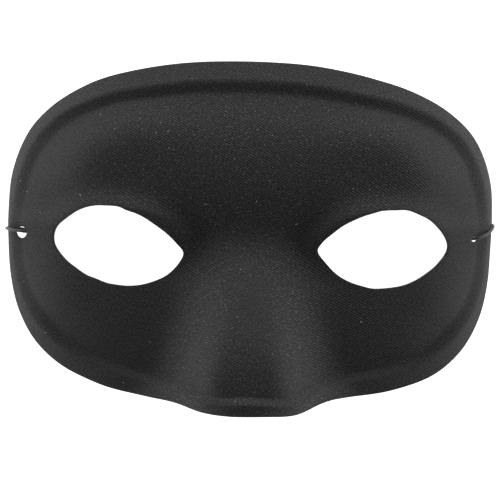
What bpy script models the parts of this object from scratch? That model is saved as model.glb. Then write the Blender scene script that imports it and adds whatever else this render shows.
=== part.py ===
"""Black cloth-covered half mask with its elastic cord, lying face up on a table.

Run with: blender --background --python part.py

The mask is one moulded shell: a domed forehead, a nose, two eye holes and a raised band round the
rim. Its side rims stand on the table. Through the hole beside each eye hole goes a round elastic
cord, which turns round the rim and is tied to itself behind it.

The tables and sizes are in millimetres, and the scene is in metres. +X is to the right of someone
who looks at the face, +Y to the forehead and +Z out of the face.
"""
import math

import bmesh
import bpy
import numpy as np
from mathutils import Vector

MM = 0.001
COLLECTION = "domino_mask"

# The rim from the middle of the forehead down the right side to below the nose:
# across, up, height above the table, and width of the raised band as seen from the front.
RIM = (
    (0.0, 64.8, 31.0, 8.5),
    (20.7, 63.8, 30.5, 8.6),
    (43.5, 59.9, 27.5, 8.6),
    (60.4, 54.3, 22.0, 7.8),
    (72.5, 47.0, 15.0, 6.9),
    (80.1, 39.1, 8.0, 6.3),
    (84.4, 30.6, 2.8, 5.2),
    (86.8, 21.6, -0.5, 4.0),
    (87.6, 12.0, -0.5, 3.0),
    (87.75, 4.6, 5.0, 2.4),
    (87.5, -3.5, -0.5, 2.6),
    (86.5, -14.5, -0.5, 3.2),
    (83.5, -27.1, 3.0, 4.6),
    (77.8, -37.9, 9.0, 6.4),
    (68.9, -46.4, 15.5, 7.6),
    (55.0, -52.9, 22.0, 8.0),
    (38.4, -57.0, 27.5, 7.0),
    (26.5, -59.5, 38.0, 5.2),
    (16.0, -63.2, 49.5, 4.6),
    (0.0, -64.8, 55.0, 5.6),
)

# The dome under the relief: half width, half height, depth and roundness.
DOME_HALF_WIDTH = 88.2
DOME_HALF_HEIGHT = 94.0
DOME_DEPTH = 43.5
DOME_DROP = 2.0
DOME_POWER_ACROSS = 2.6
DOME_POWER_UP = 2.5

# Soft swellings and hollows on both halves: rise, across, up, spread across, spread up.
SWELLINGS = (
    (4.8, 0.0, 41.0, 60.0, 25.0),     # middle of the forehead
    (5.0, 54.0, 38.5, 26.0, 15.0),    # brow over the outer half of the eye
    (-8.5, 24.0, -4.0, 14.5, 13.5),   # hollow at the inner corner of the eye
    (-5.0, 0.0, 1.0, 22.0, 12.0),     # root of the nose
    (-4.0, 37.0, -35.0, 29.0, 25.0),  # cheek beside the nose
)
MIDDLE_SOFTNESS = 4.0

NOSE_RISE = 26.0
NOSE_TOP = -5.0
NOSE_TIP = -47.0
NOSE_END = -74.0
NOSE_START_SOFTNESS = 4.5
NOSE_LEVEL_SOFTNESS = 5.0
NOSE_END_SOFTNESS = 4.5
NOSE_HALF_WIDTH_TOP = 12.0
NOSE_HALF_WIDTH_TIP = 25.0
NOSE_FLANK_POWER_TOP = 2.2
NOSE_FLANK_POWER_TIP = 4.4

# The lid: a low roll above each eye hole, measured from an ellipse that fits the hole.
LID_CENTRE = (48.0, -2.8)
LID_HALF_AXES = (23.5, 14.2)
LID_TILT = math.radians(8.0)
LID_RISE = 4.2
LID_OUTSET = -1.0
LID_SPREAD = 4.8

RIM_FADE = 24.0
# The step inside the raised band is shallow beside the cord holes, where the band is narrow.
BAND_STEP_NARROW = 1.3
BAND_STEP_WIDE = 2.9
BAND_WIDTH_NARROW = 3.0
BAND_WIDTH_WIDE = 7.0
STEP_HALF_RUN = 1.6
STEP_FADE = 16.0
SHELL_WALL = 1.2

# The right eye hole, from its outer corner over the top to the inner corner and back.
EYE_OUTLINE = (
    (71.2, -2.0), (70.2, 3.3), (66.4, 7.3), (59.4, 10.9), (52.6, 11.7),
    (45.1, 10.4), (36.2, 6.5), (29.2, 1.5), (24.5, -4.6), (27.0, -9.2),
    (33.5, -14.5), (40.7, -16.9), (48.7, -17.3), (57.8, -14.8), (66.0, -9.6),
)

CORD_HOLE_PLACE = (82.8, 1.2)
CORD_HOLE_DIAMETER = 3.8
CORD_HOLE_LEAN = math.radians(57.0)
CORD_HOLE_CUTTER_LENGTH = 8.0

# The elastic cord from its right tail to its left tail. Each end goes through its knot, out of the
# hole, over the band, round the rim and back through the knot. The rest lies on the table.
CORD_DIAMETER = 1.1
CORD_ROUTE = (
    (75.4, 0.6, 1.9), (79.0, 3.0, 4.0), (80.8, 2.8, 6.6), (80.0, 2.0, 9.9),
    (81.3, 1.5, 12.0), (83.2, 1.8, 12.2), (87.0, 3.7, 9.9), (88.8, 5.9, 5.1),
    (88.3, 6.7, 2.6), (86.2, 6.8, 1.5), (82.6, 5.2, 2.0), (79.0, 3.0, 2.6),
    (75.4, 5.0, 1.0), (72.5, 13.0, 0.6), (62.0, 26.0, 0.6), (48.0, 38.0, 0.6),
    (33.0, 43.5, 0.6), (19.0, 39.5, 0.6), (11.5, 24.0, 0.6), (10.5, 6.0, 0.6),
    (0.0, -8.0, 0.6), (-10.0, 6.0, 0.6), (-12.5, 25.0, 0.6), (-21.0, 38.0, 0.6),
    (-36.0, 42.0, 0.6), (-52.0, 35.0, 0.6), (-66.0, 22.0, 0.6), (-75.4, 3.6, 1.0),
    (-79.0, 1.6, 2.6), (-82.6, 2.3, 2.0), (-86.2, 2.7, 1.7), (-88.3, 2.6, 2.7),
    (-88.6, 2.4, 5.0), (-86.7, 1.9, 9.7), (-83.2, 1.5, 12.0), (-81.3, 1.3, 12.0),
    (-80.0, 1.3, 9.9), (-80.8, 1.5, 6.6), (-79.0, 1.6, 4.0), (-75.4, -0.6, 1.9),
)
ROUTE_FINE_STEPS = 24
CORD_MOST_TURN = math.radians(24.0)
CORD_LONGEST_STEP = 6.5

# Each knot is a ring round the two strands of its loop.
KNOT_PLACE_RIGHT = (79.0, 3.0, 3.3)
KNOT_PLACE_LEFT = (-79.0, 1.6, 3.3)
KNOT_RING_RADIUS = 2.55
KNOT_THICKNESS_RADIUS = 0.7

EYE_CURVE_STEPS = 4
EYE_CUTTER_MIDDLE = 40.0
EYE_CUTTER_HALF_HEIGHT = 38.0
TABLE_CUTTER_SIZE = (250.0, 200.0, 20.0)

CLOTH_GREY = 0.02
CORD_GREY = 0.012

POINTS_AROUND = 96
ROWS_ON_BAND = 3
ROWS_INSIDE_BAND = 12
HOLE_SIDES = 20
SHARP_EDGE = math.radians(50.0)
CENTRE_UP = -1.0


def clear_scene() -> None:
    """Removes whatever objects the scene starts with."""
    for item in list(bpy.data.objects):
        bpy.data.objects.remove(item, do_unlink=True)


def collection(name: str) -> bpy.types.Collection:
    """Makes a collection in the scene."""
    group = bpy.data.collections.new(name)
    bpy.context.scene.collection.children.link(group)
    return group


def finish(name: str, grey: float, roughness: float) -> bpy.types.Material:
    """Makes a plain dark material."""
    material = bpy.data.materials.new(name)
    material.use_nodes = True
    shader = material.node_tree.nodes["Principled BSDF"]
    shader.inputs["Base Color"].default_value = (grey, grey, grey, 1.0)
    shader.inputs["Roughness"].default_value = roughness
    shader.inputs["Metallic"].default_value = 0.0
    return material


def rim_table() -> tuple[np.ndarray, np.ndarray]:
    """Turns the rim into angles about the middle, and a row of radius, height and band for each."""
    right = np.array(RIM)
    left = right[-2:0:-1] * (-1, 1, 1, 1)
    whole = np.concatenate([right, left])
    angle = np.unwrap(np.arctan2(whole[:, 1] - CENTRE_UP, whole[:, 0]))[::-1]
    rows = np.column_stack([np.hypot(whole[:, 0], whole[:, 1] - CENTRE_UP), whole[:, 2:]])[::-1]
    turn = 2 * math.pi
    angle = np.concatenate([angle - turn, angle, angle + turn])
    return angle, np.concatenate([rows, rows, rows])


RIM_ANGLES, RIM_ROWS = rim_table()
RIM_SLOPES = np.gradient(RIM_ROWS, RIM_ANGLES, axis=0)


def rim_at(angle: np.ndarray) -> np.ndarray:
    """Radius, height and band width of the rim at an angle, on a smooth curve through the table."""
    place = np.clip(np.searchsorted(RIM_ANGLES, angle) - 1, 0, len(RIM_ANGLES) - 2)
    width = RIM_ANGLES[place + 1] - RIM_ANGLES[place]
    t = ((angle - RIM_ANGLES[place]) / width)[..., None]
    width = width[..., None]
    return (
        (2 * t**3 - 3 * t**2 + 1) * RIM_ROWS[place]
        + (t**3 - 2 * t**2 + t) * width * RIM_SLOPES[place]
        + (3 * t**2 - 2 * t**3) * RIM_ROWS[place + 1]
        + (t**3 - t**2) * width * RIM_SLOPES[place + 1]
    )


def nose(across: np.ndarray, up: np.ndarray) -> np.ndarray:
    """Rise of the nose over the dome."""
    start = NOSE_START_SOFTNESS * np.logaddexp(0.0, (NOSE_TOP - up) / NOSE_START_SOFTNESS)
    level = NOSE_LEVEL_SOFTNESS * np.logaddexp(0.0, (NOSE_TIP - up) / NOSE_LEVEL_SOFTNESS)
    run = (start - level) / (NOSE_TOP - NOSE_TIP)
    run = run / (1.0 + np.exp((NOSE_END - up) / NOSE_END_SOFTNESS))
    spread = NOSE_HALF_WIDTH_TOP + (NOSE_HALF_WIDTH_TIP - NOSE_HALF_WIDTH_TOP) * run
    power = NOSE_FLANK_POWER_TOP + (NOSE_FLANK_POWER_TIP - NOSE_FLANK_POWER_TOP) * np.clip(run, 0.0, 1.0)
    return NOSE_RISE * run * np.exp(-((across / spread) ** power))


def lid(across: np.ndarray, up: np.ndarray) -> np.ndarray:
    """Rise of the roll above the eye hole."""
    x = across - LID_CENTRE[0]
    y = up - LID_CENTRE[1]
    along = x * math.cos(LID_TILT) + y * math.sin(LID_TILT)
    over = y * math.cos(LID_TILT) - x * math.sin(LID_TILT)
    outset = (np.hypot(along / LID_HALF_AXES[0], over / LID_HALF_AXES[1]) - 1.0) * LID_HALF_AXES[1]
    above = 0.5 + 0.5 * np.tanh(over / 5.0)
    return LID_RISE * above * np.exp(-(((outset - LID_OUTSET) / LID_SPREAD) ** 2))


def relief_height(x: np.ndarray, y: np.ndarray) -> np.ndarray:
    """Height of the face above the table, before the rim is bent down to its own height."""
    across = np.abs(x)
    reach = (across / DOME_HALF_WIDTH) ** DOME_POWER_ACROSS + (np.abs(y) / DOME_HALF_HEIGHT) ** DOME_POWER_UP
    height = DOME_DEPTH * np.sqrt(np.maximum(1.0 - reach ** (2.0 / DOME_POWER_ACROSS), 0.0)) - DOME_DROP
    soft = np.sqrt(across**2 + MIDDLE_SOFTNESS**2)
    for rise, centre_x, centre_y, spread_x, spread_y in SWELLINGS:
        height = height + rise * np.exp(-(((soft - centre_x) / spread_x) ** 2) - ((y - centre_y) / spread_y) ** 2)
    return height + nose(across, y) + lid(across, y)


def face_height(x: np.ndarray, y: np.ndarray) -> np.ndarray:
    """Height of the face above the table, with the rim at its own height."""
    angle = np.arctan2(y - CENTRE_UP, x)
    radius, height, _ = np.moveaxis(rim_at(angle), -1, 0)
    inward = radius - np.hypot(x, y - CENTRE_UP)
    natural = relief_height(radius * np.cos(angle), radius * np.sin(angle) + CENTRE_UP)
    return relief_height(x, y) + (height - natural) * np.clip(1.0 - inward / RIM_FADE, 0.0, None) ** 2


def face_normal(x: np.ndarray, y: np.ndarray) -> np.ndarray:
    """Outward normal of the face."""
    near = 0.1
    slope_x = (face_height(x + near, y) - face_height(x - near, y)) / (2 * near)
    slope_y = (face_height(x, y + near) - face_height(x, y - near)) / (2 * near)
    normal = np.stack([-slope_x, -slope_y, np.ones_like(slope_x)], axis=-1)
    return normal / np.linalg.norm(normal, axis=-1, keepdims=True)


def face_point(angle: np.ndarray, inward: np.ndarray) -> np.ndarray:
    """Point of the outer surface, a distance inward of the rim, sunk a step inside the raised band."""
    radius, _, band = np.moveaxis(rim_at(angle), -1, 0)
    x = (radius - inward) * np.cos(angle)
    y = (radius - inward) * np.sin(angle) + CENTRE_UP
    run = np.clip(0.5 + 0.5 * (inward - band) / STEP_HALF_RUN, 0.0, 1.0)
    wide = np.clip((band - BAND_WIDTH_NARROW) / (BAND_WIDTH_WIDE - BAND_WIDTH_NARROW), 0.0, 1.0)
    wide = wide * np.exp(-((np.maximum(inward - band, 0.0) / STEP_FADE) ** 2))
    step = BAND_STEP_NARROW + (BAND_STEP_WIDE - BAND_STEP_NARROW) * wide
    sunk = step * run * run * (3.0 - 2.0 * run)
    return np.stack([x, y, face_height(x, y)], axis=-1) - sunk[..., None] * face_normal(x, y)


def shell_mesh() -> bpy.types.Mesh:
    """Makes the outer surface as rings from the rim to the middle of the face."""
    rows = ROWS_ON_BAND + ROWS_INSIDE_BAND
    mesh = bmesh.new()
    bmesh.ops.create_grid(mesh, x_segments=rows, y_segments=POINTS_AROUND, size=0.5)
    place = np.array([vertex.co[:2] for vertex in mesh.verts]) + 0.5
    angle = -2 * math.pi * place[:, 1]
    radius, _, band = np.moveaxis(rim_at(angle), -1, 0)
    row = np.round(place[:, 0] * rows)
    inside = np.clip((row - ROWS_ON_BAND) / ROWS_INSIDE_BAND, 0.0, 1.0)
    on_step = np.minimum(2.0 * (row - 1) / (ROWS_ON_BAND - 1) - 1.0, 1.0)
    inward = np.where(row == 0, 0.0, band + STEP_HALF_RUN * on_step)
    inward += (radius - inward) * inside
    for vertex, point in zip(mesh.verts, face_point(angle, inward)):
        vertex.co = Vector(point) * MM
    bmesh.ops.remove_doubles(mesh, verts=mesh.verts, dist=0.02 * MM)
    data = bpy.data.meshes.new("mask_shell")
    mesh.to_mesh(data)
    mesh.free()
    return data


def add_object(name: str, data: bpy.types.ID, group: bpy.types.Collection) -> bpy.types.Object:
    """Puts data into the scene as an object of a collection."""
    item = bpy.data.objects.new(name, data)
    group.objects.link(item)
    return item


def mark_as_cutter(item: bpy.types.Object) -> bpy.types.Object:
    """Keeps a cutter out of the model's own solids."""
    item.hide_render = True
    item.display_type = "WIRE"
    return item


def eye_cutter(name: str, side: int, group: bpy.types.Collection) -> bpy.types.Object:
    """Makes the upright prism that cuts an eye hole."""
    curve = bpy.data.curves.new(name, "CURVE")
    curve.dimensions = "2D"
    curve.fill_mode = "BOTH"
    curve.resolution_u = EYE_CURVE_STEPS
    curve.extrude = EYE_CUTTER_HALF_HEIGHT * MM
    spline = curve.splines.new("BEZIER")
    spline.bezier_points.add(len(EYE_OUTLINE) - 1)
    for point, (across, up) in zip(spline.bezier_points, EYE_OUTLINE):
        point.co = (side * across * MM, up * MM, 0.0)
        point.handle_left_type = "AUTO"
        point.handle_right_type = "AUTO"
    spline.use_cyclic_u = True
    outline = add_object(name + "_outline", curve, group)
    outline.location.z = EYE_CUTTER_MIDDLE * MM
    bpy.context.view_layer.update()
    evaluated = outline.evaluated_get(bpy.context.evaluated_depsgraph_get())
    data = bpy.data.meshes.new_from_object(evaluated)
    mesh = bmesh.new()
    mesh.from_mesh(data)
    bmesh.ops.remove_doubles(mesh, verts=mesh.verts, dist=0.01 * MM)
    bmesh.ops.recalc_face_normals(mesh, faces=mesh.faces)
    mesh.to_mesh(data)
    mesh.free()
    cutter = add_object(name, data, group)
    cutter.matrix_world = outline.matrix_world.copy()
    bpy.data.objects.remove(outline, do_unlink=True)
    return mark_as_cutter(cutter)


def cord_hole_cutter(name: str, side: int, group: bpy.types.Collection) -> bpy.types.Object:
    """Makes the round punch for a cord hole, square to the wall."""
    across, up = CORD_HOLE_PLACE
    angle = np.array([math.atan2(up - CENTRE_UP, across)])
    inward = rim_at(angle)[:, 0] - math.hypot(across, up - CENTRE_UP)
    point = Vector(face_point(angle, inward)[0])
    point.x *= side
    direction = Vector((side * math.sin(CORD_HOLE_LEAN), 0.0, math.cos(CORD_HOLE_LEAN)))
    mesh = bmesh.new()
    bmesh.ops.create_cone(
        mesh,
        cap_ends=True,
        segments=HOLE_SIDES,
        radius1=0.5 * CORD_HOLE_DIAMETER * MM,
        radius2=0.5 * CORD_HOLE_DIAMETER * MM,
        depth=CORD_HOLE_CUTTER_LENGTH * MM,
    )
    data = bpy.data.meshes.new(name)
    mesh.to_mesh(data)
    mesh.free()
    cutter = add_object(name, data, group)
    cutter.location = point * MM
    cutter.rotation_mode = "QUATERNION"
    cutter.rotation_quaternion = direction.to_track_quat("Z", "Y")
    return mark_as_cutter(cutter)


def table_cutter(group: bpy.types.Collection) -> bpy.types.Object:
    """Makes the block below the table, which trims the side rims flat."""
    mesh = bmesh.new()
    bmesh.ops.create_cube(mesh, size=1.0)
    data = bpy.data.meshes.new("table_trim")
    mesh.to_mesh(data)
    mesh.free()
    cutter = add_object("table_trim", data, group)
    cutter.scale = Vector(TABLE_CUTTER_SIZE) * MM
    cutter.location.z = -0.5 * TABLE_CUTTER_SIZE[2] * MM
    return mark_as_cutter(cutter)


def cut(item: bpy.types.Object, cutter: bpy.types.Object) -> None:
    """Takes a cutter's shape out of an object."""
    modifier = item.modifiers.new("cut_" + cutter.name, "BOOLEAN")
    modifier.operation = "DIFFERENCE"
    modifier.solver = "EXACT"
    modifier.object = cutter


def build_shell(group: bpy.types.Collection, cutters: bpy.types.Collection) -> bpy.types.Object:
    """Makes the moulded shell with its wall, eye holes and cord holes."""
    shell = add_object("mask_shell", shell_mesh(), group)
    wall = shell.modifiers.new("wall", "SOLIDIFY")
    wall.thickness = SHELL_WALL * MM
    wall.offset = -1.0
    wall.use_even_offset = False
    for side, word in ((-1, "left"), (1, "right")):
        cut(shell, eye_cutter("eye_" + word, side, cutters))
        cut(shell, cord_hole_cutter("cord_hole_" + word, side, cutters))
    cut(shell, table_cutter(cutters))
    shell.data.shade_smooth()
    shell.data.set_sharp_from_angle(angle=SHARP_EDGE)
    shell.data.materials.append(finish("black_cloth", CLOTH_GREY, 0.85))
    return shell


def smooth_route(points: tuple) -> list[Vector]:
    """Reads a smooth curve through the route's points, closer together where it bends."""
    route = [Vector(point) for point in points]
    route = [2 * route[0] - route[1]] + route + [2 * route[-1] - route[-2]]
    fine = []
    for before, start, end, after in zip(route, route[1:], route[2:], route[3:]):
        gaps = [math.sqrt((b - a).length) for a, b in ((before, start), (start, end), (end, after))]
        leave = (start - before) / gaps[0] - (end - before) / (gaps[0] + gaps[1]) + (end - start) / gaps[1]
        arrive = (end - start) / gaps[1] - (after - start) / (gaps[1] + gaps[2]) + (after - end) / gaps[2]
        for step in range(ROUTE_FINE_STEPS):
            t = step / ROUTE_FINE_STEPS
            fine.append(
                (2 * t**3 - 3 * t**2 + 1) * start
                + (t**3 - 2 * t**2 + t) * gaps[1] * leave
                + (3 * t**2 - 2 * t**3) * end
                + (t**3 - t**2) * gaps[1] * arrive
            )
    fine.append(route[-2])
    kept = [fine[0]]
    heading = fine[1] - fine[0]
    for here, ahead in zip(fine[1:], fine[2:]):
        turned = heading.angle(ahead - here)
        if turned > CORD_MOST_TURN or (here - kept[-1]).length > CORD_LONGEST_STEP:
            kept.append(here)
            heading = ahead - here
    return kept + [fine[-1]]


def build_cord(group: bpy.types.Collection) -> bpy.types.Object:
    """Makes the elastic cord as one round tube."""
    curve = bpy.data.curves.new("elastic_cord", "CURVE")
    curve.dimensions = "3D"
    curve.bevel_depth = 0.5 * CORD_DIAMETER * MM
    curve.bevel_resolution = 2
    curve.use_fill_caps = True
    spline = curve.splines.new("POLY")
    points = smooth_route(CORD_ROUTE)
    spline.points.add(len(points) - 1)
    for target, point in zip(spline.points, points):
        target.co = (*(point * MM), 1.0)
    cord = add_object("elastic_cord", curve, group)
    curve.materials.append(finish("black_elastic", CORD_GREY, 0.7))
    return cord


def build_knot(name: str, place: tuple, group: bpy.types.Collection) -> bpy.types.Object:
    """Makes the knot that holds a cord loop shut, as a ring round its two strands."""
    bpy.ops.mesh.primitive_torus_add(
        major_radius=KNOT_RING_RADIUS * MM,
        minor_radius=KNOT_THICKNESS_RADIUS * MM,
        major_segments=24,
        minor_segments=10,
        location=Vector(place) * MM,
        rotation=(0.0, math.radians(90), 0.0),
    )
    knot = bpy.context.object
    knot.name = name
    knot.data.name = name
    knot.users_collection[0].objects.unlink(knot)
    group.objects.link(knot)
    knot.data.shade_smooth()
    knot.data.materials.append(finish("black_elastic_knot", CORD_GREY, 0.7))
    return knot


def build_mask() -> None:
    """Builds the whole mask with its cord."""
    clear_scene()
    parts = collection(COLLECTION)
    cutters = collection("cutters")
    build_shell(parts, cutters)
    build_cord(parts)
    for word, place in (("left", KNOT_PLACE_LEFT), ("right", KNOT_PLACE_RIGHT)):
        build_knot("elastic_knot_" + word, place, parts)


if __name__ == "__main__":
    build_mask()
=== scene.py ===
"""Black cloth-covered domino mask with its elastic cord, lying face up on a white studio table.

The tables and sizes of the mask are in millimetres, and the scene is in metres. +X is to the right
of someone who looks at the face, +Y to the forehead and +Z out of the face.
"""
import logging
import math
from dataclasses import dataclass, field
from enum import Enum

import bmesh
import bpy
import numpy as np
from mathutils import Matrix, Vector


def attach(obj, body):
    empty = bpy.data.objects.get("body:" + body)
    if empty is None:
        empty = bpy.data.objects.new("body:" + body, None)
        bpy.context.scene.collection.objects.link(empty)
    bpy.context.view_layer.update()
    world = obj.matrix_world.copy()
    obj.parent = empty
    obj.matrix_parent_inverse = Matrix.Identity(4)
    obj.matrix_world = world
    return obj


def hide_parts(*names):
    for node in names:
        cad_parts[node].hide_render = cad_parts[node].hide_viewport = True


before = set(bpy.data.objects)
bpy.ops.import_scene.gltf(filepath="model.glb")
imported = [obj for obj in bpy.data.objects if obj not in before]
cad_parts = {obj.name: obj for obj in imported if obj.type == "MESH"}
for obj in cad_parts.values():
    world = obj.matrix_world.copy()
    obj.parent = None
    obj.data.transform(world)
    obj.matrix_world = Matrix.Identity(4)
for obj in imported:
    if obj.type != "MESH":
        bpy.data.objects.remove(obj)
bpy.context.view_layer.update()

LOG = logging.getLogger("domino_mask")
MM = 0.001


class Side(Enum):
    """A half of the face, by the sign of its X."""

    LEFT = -1
    RIGHT = 1


class Layer(Enum):
    """A layer of the moulded shell, by its material slot."""

    CLOTH = 0
    LINING = 1
    CUT_EDGE = 2


def linear(colour: str) -> tuple[float, float, float, float]:
    """Turns an sRGB hex colour into linear values.

    Args:
        colour: six hex digits, such as "1f1f20".

    Returns:
        Red, green, blue and an alpha of one.
    """
    parts = [int(colour[place:place + 2], 16) / 255 for place in (0, 2, 4)]
    return (*[c / 12.92 if c <= 0.04045 else ((c + 0.055) / 1.055) ** 2.4 for c in parts], 1.0)


def add_node(
    material: bpy.types.Material, kind: str, settings: dict | None = None, **links: object
) -> bpy.types.Node:
    """Adds a node to a material.

    Args:
        material: the material that gets the node.
        kind: the node's type.
        settings: values for its properties and, by name or number, for its sockets.
        links: output sockets for its inputs, by input name with _ for a space or in_N for input N.

    Returns:
        The new node.
    """
    tree = material.node_tree
    node = tree.nodes.new(kind)
    for key, value in (settings or {}).items():
        if isinstance(key, int) or key in node.inputs:
            node.inputs[key].default_value = value
        else:
            setattr(node, key, value)
    for name, source in links.items():
        place = int(name[3:]) if name.startswith("in_") else name.replace("_", " ")
        tree.links.new(source, node.inputs[place])
    return node


def new_material(name: str) -> tuple[bpy.types.Material, bpy.types.Node]:
    """Makes a material.

    Args:
        name: the finish's plain name.

    Returns:
        The material and its shader node.
    """
    material = bpy.data.materials.new(name)
    material.use_nodes = True
    return material, material.node_tree.nodes["Principled BSDF"]


def link(material: bpy.types.Material, source: bpy.types.NodeSocket, target: bpy.types.NodeSocket) -> None:
    """Joins two sockets."""
    material.node_tree.links.new(source, target)


def noise(
    material: bpy.types.Material, place: bpy.types.NodeSocket, grain_mm: float, detail: float, **more: float
) -> bpy.types.NodeSocket:
    """Adds a noise pattern.

    Args:
        material: the material that gets it.
        place: the coordinates that it reads, in metres.
        grain_mm: the size of its grain.
        detail: its levels of finer noise.
        more: the node's other settings.

    Returns:
        The pattern, from 0 to 1.
    """
    settings = {"Scale": 1 / (grain_mm * MM), "Detail": detail, **more}
    return add_node(material, "ShaderNodeTexNoise", settings, Vector=place).outputs["Fac"]


def remap(
    material: bpy.types.Material, value: bpy.types.NodeSocket, old: tuple, new: tuple = (0.0, 1.0)
) -> bpy.types.NodeSocket:
    """Adds a change of range.

    Args:
        material: the material that gets it.
        value: the value that it reads.
        old: the range that is read, and clamped.
        new: the range that it becomes.

    Returns:
        The value in its new range.
    """
    settings = {"From Min": old[0], "From Max": old[1], "To Min": new[0], "To Max": new[1]}
    return add_node(material, "ShaderNodeMapRange", settings, Value=value).outputs["Result"]


def two_colours(
    material: bpy.types.Material, share: bpy.types.NodeSocket, first: str, second: str
) -> bpy.types.NodeSocket:
    """Adds a mix of two hex colours.

    Args:
        material: the material that gets it.
        share: how much of the second colour shows.
        first: the colour at 0.
        second: the colour at 1.

    Returns:
        The mixed colour.
    """
    settings = {"data_type": "RGBA", 6: linear(first), 7: linear(second)}
    return add_node(material, "ShaderNodeMix", settings, in_0=share).outputs[2]


def add_bump(
    material: bpy.types.Material, shader: bpy.types.Node, height: bpy.types.NodeSocket,
    distance_mm: float, strength: float = 1.0,
) -> None:
    """Gives a finish its relief.

    Args:
        material: the material that gets it.
        shader: the material's shader.
        height: the relief, from 0 to 1.
        distance_mm: the height that 1 stands for.
        strength: the share of the relief that shows.
    """
    settings = {"Strength": strength, "Distance": distance_mm * MM}
    bump = add_node(material, "ShaderNodeBump", settings, Height=height).outputs["Normal"]
    link(material, bump, shader.inputs["Normal"])


def add_object(name: str, data: bpy.types.ID) -> bpy.types.Object:
    """Adds an object to the scene.

    Args:
        name: its name.
        data: its mesh, curve, light or camera.

    Returns:
        The object.
    """
    item = bpy.data.objects.new(name, data)
    bpy.context.scene.collection.objects.link(item)
    return item


def add_piece(name: str, mesh: bmesh.types.BMesh, finishes: list[bpy.types.Material]) -> bpy.types.Object:
    """Turns a finished bmesh into an object of the scene.

    Args:
        name: the object's name.
        mesh: the bmesh, which is freed.
        finishes: the materials of its slots.

    Returns:
        The object.
    """
    data = bpy.data.meshes.new(name)
    mesh.to_mesh(data)
    mesh.free()
    for material in finishes:
        data.materials.append(material)
    return add_object(name, data)


def hermite(t: float, start: object, leave: object, end: object, arrive: object) -> object:
    """Reads a cubic curve between two ends.

    Args:
        t: how far along, from 0 to 1.
        start: the first end, as a number, vector or array.
        leave: the slope there.
        end: the second end.
        arrive: the slope there.

    Returns:
        The place on the curve.
    """
    from_start = (2 * t**3 - 3 * t**2 + 1) * start + (t**3 - 2 * t**2 + t) * leave
    return from_start + (3 * t**2 - 2 * t**3) * end + (t**3 - t**2) * arrive


def curve_between(before: object, start: object, end: object, after: object, steps: int) -> list:
    """Reads a smooth curve through four knots, between the two in the middle.

    Args:
        before: the knot before the curve, as a vector or array.
        start: the knot where it starts.
        end: the knot where it ends.
        after: the knot behind it.
        steps: the number of points.

    Returns:
        The points, with the first knot and without the last one.
    """
    gaps = [math.sqrt(math.dist(a, b)) for a, b in ((before, start), (start, end), (end, after))]
    leave = (start - before) / gaps[0] - (end - before) / (gaps[0] + gaps[1]) + (end - start) / gaps[1]
    arrive = (end - start) / gaps[1] - (after - start) / (gaps[1] + gaps[2]) + (after - end) / gaps[2]
    return [hermite(step / steps, start, gaps[1] * leave, end, gaps[1] * arrive) for step in range(steps)]


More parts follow.
